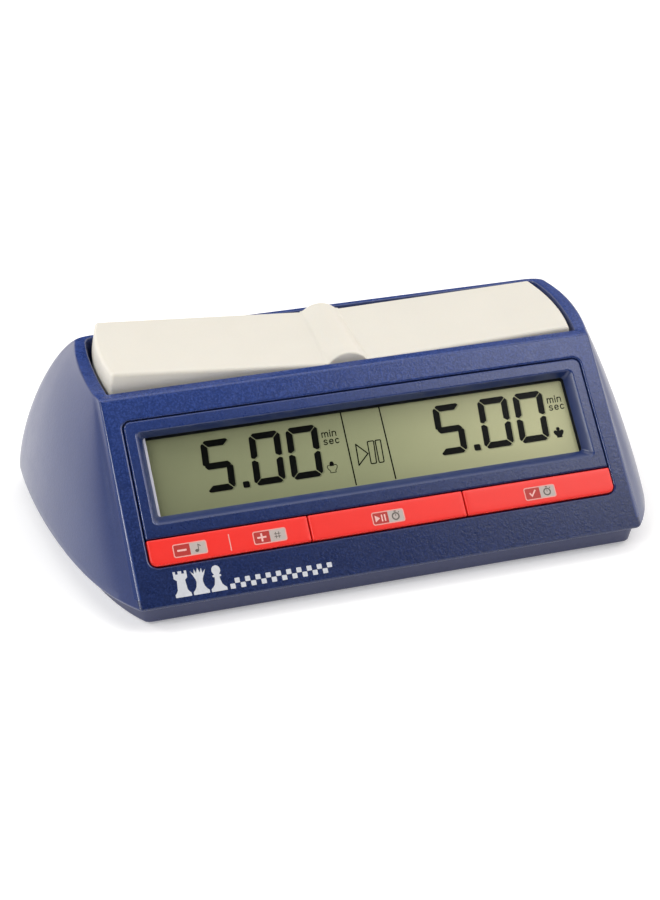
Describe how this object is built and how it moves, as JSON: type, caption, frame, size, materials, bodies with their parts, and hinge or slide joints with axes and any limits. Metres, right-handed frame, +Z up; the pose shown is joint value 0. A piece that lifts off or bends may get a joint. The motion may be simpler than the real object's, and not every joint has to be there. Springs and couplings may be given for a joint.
{
  "type": "chess clock",
  "caption": "Digital chess clock with a sloped display face, a see-saw lever across the top and a strip of keys under the display.",
  "frame": {"origin": "on the table under the middle of the clock, at the underside of the feet", "axes": "+X to the clock's right as a player facing the display sees it, +Y to the back, +Z up"},
  "size_m": [0.156, 0.0952, 0.0488],
  "materials": {
    "casing_blue": "fine spark texture on the face and top, satin on the sides",
    "plinth_blue": "satin moulded plastic",
    "bezel_blue": "satin moulded plastic",
    "window_clear": "clear",
    "lcd_glass": "grey-green reflective display",
    "zebra_rubber": "matte",
    "circuit_board": "green solder mask",
    "chip_black": "moulded epoxy",
    "buzzer_black": "moulded",
    "key_red": "satin coral red",
    "silicone_grey": "matte silicone",
    "lever_ivory": "satin ivory",
    "magnet_nickel": "nickel plated",
    "steel": "bright",
    "contact_steel": "nickel plated spring steel",
    "rubber_black": "matte",
    "battery_wrap": "printed sleeve",
    "wire_red": "PVC",
    "wire_black": "PVC",
    "button_grey": "satin"
  },
  "bodies": {
    "casing": {"battery_front": "battery_wrap", "battery_rear": "battery_wrap", "battery_spring_front": "contact_steel", "battery_spring_rear": "contact_steel", "battery_wire_black": "wire_black", "battery_wire_red": "wire_red", "board_screw_lower_left": "steel", "board_screw_lower_right": "steel", "board_screw_upper_left": "steel", "board_screw_upper_right": "steel", "bridge_contact": "contact_steel", "buzzer": "buzzer_black", "casing_screw_front_left": "steel", "casing_screw_front_right": "steel", "casing_screw_rear_left": "steel", "casing_screw_rear_right": "steel", "display_bezel": "bezel_blue", "display_lens": "window_clear", "foot_front_left": "rubber_black", "foot_front_right": "rubber_black", "foot_rear_left": "rubber_black", "foot_rear_right": "rubber_black", "keypad_mat": "silicone_grey", "lcd_glass": "lcd_glass", "lever_pivot_pin": "steel", "lever_sensor": "chip_black", "lever_stop_left": "rubber_black", "lever_stop_right": "rubber_black", "lower_casing": "plinth_blue", "main_board": "circuit_board", "negative_contact": "contact_steel", "positive_contact": "contact_steel", "power_board": "circuit_board", "power_switch": "chip_black", "processor_chip": "chip_black", "upper_casing": "casing_blue", "zebra_strip_lower": "zebra_rubber", "zebra_strip_upper": "zebra_rubber"},
    "rocker": {"rocker_lever": "lever_ivory", "lever_magnet": "magnet_nickel"},
    "minus_plus": {"minus_plus_key": "key_red"},
    "start_pause": {"start_pause_key": "key_red"},
    "confirm": {"confirm_key": "key_red"},
    "power": {"power_button": "button_grey"},
    "door": {"battery_door": "plinth_blue"}
  },
  "joints": [
    {"name": "rocker_tilt", "type": "hinge", "parent": "casing", "child": "rocker", "pos_m": [0, 0.0056, 0.0368], "axis": [0, -1, 0], "range_deg": [0, 3.8]},
    {"name": "minus_plus_tilt", "type": "hinge", "parent": "casing", "child": "minus_plus", "pos_m": [-0.0389, -0.03649, 0.01304], "axis": [0, 0.7226, 0.6913], "range_deg": [-1.2, 1.2], "stiffness_Nm_per_rad": 0.6},
    {"name": "start_pause_press", "type": "slide", "parent": "casing", "child": "start_pause", "axis": [0, 0.6913, -0.7226], "range_m": [0, 0.0008], "stiffness_N_per_m": 700, "springref_m": -0.0002},
    {"name": "confirm_press", "type": "slide", "parent": "casing", "child": "confirm", "axis": [0, 0.6913, -0.7226], "range_m": [0, 0.0008], "stiffness_N_per_m": 700, "springref_m": -0.0002},
    {"name": "power_press", "type": "slide", "parent": "casing", "child": "power", "axis": [0, 0, 1], "range_m": [0, 0.0008], "stiffness_N_per_m": 600, "springref_m": -0.0002},
    {"name": "door_slide", "type": "slide", "parent": "casing", "child": "door", "axis": [0, 1, 0], "range_m": [0, 0.037]}
  ]
}
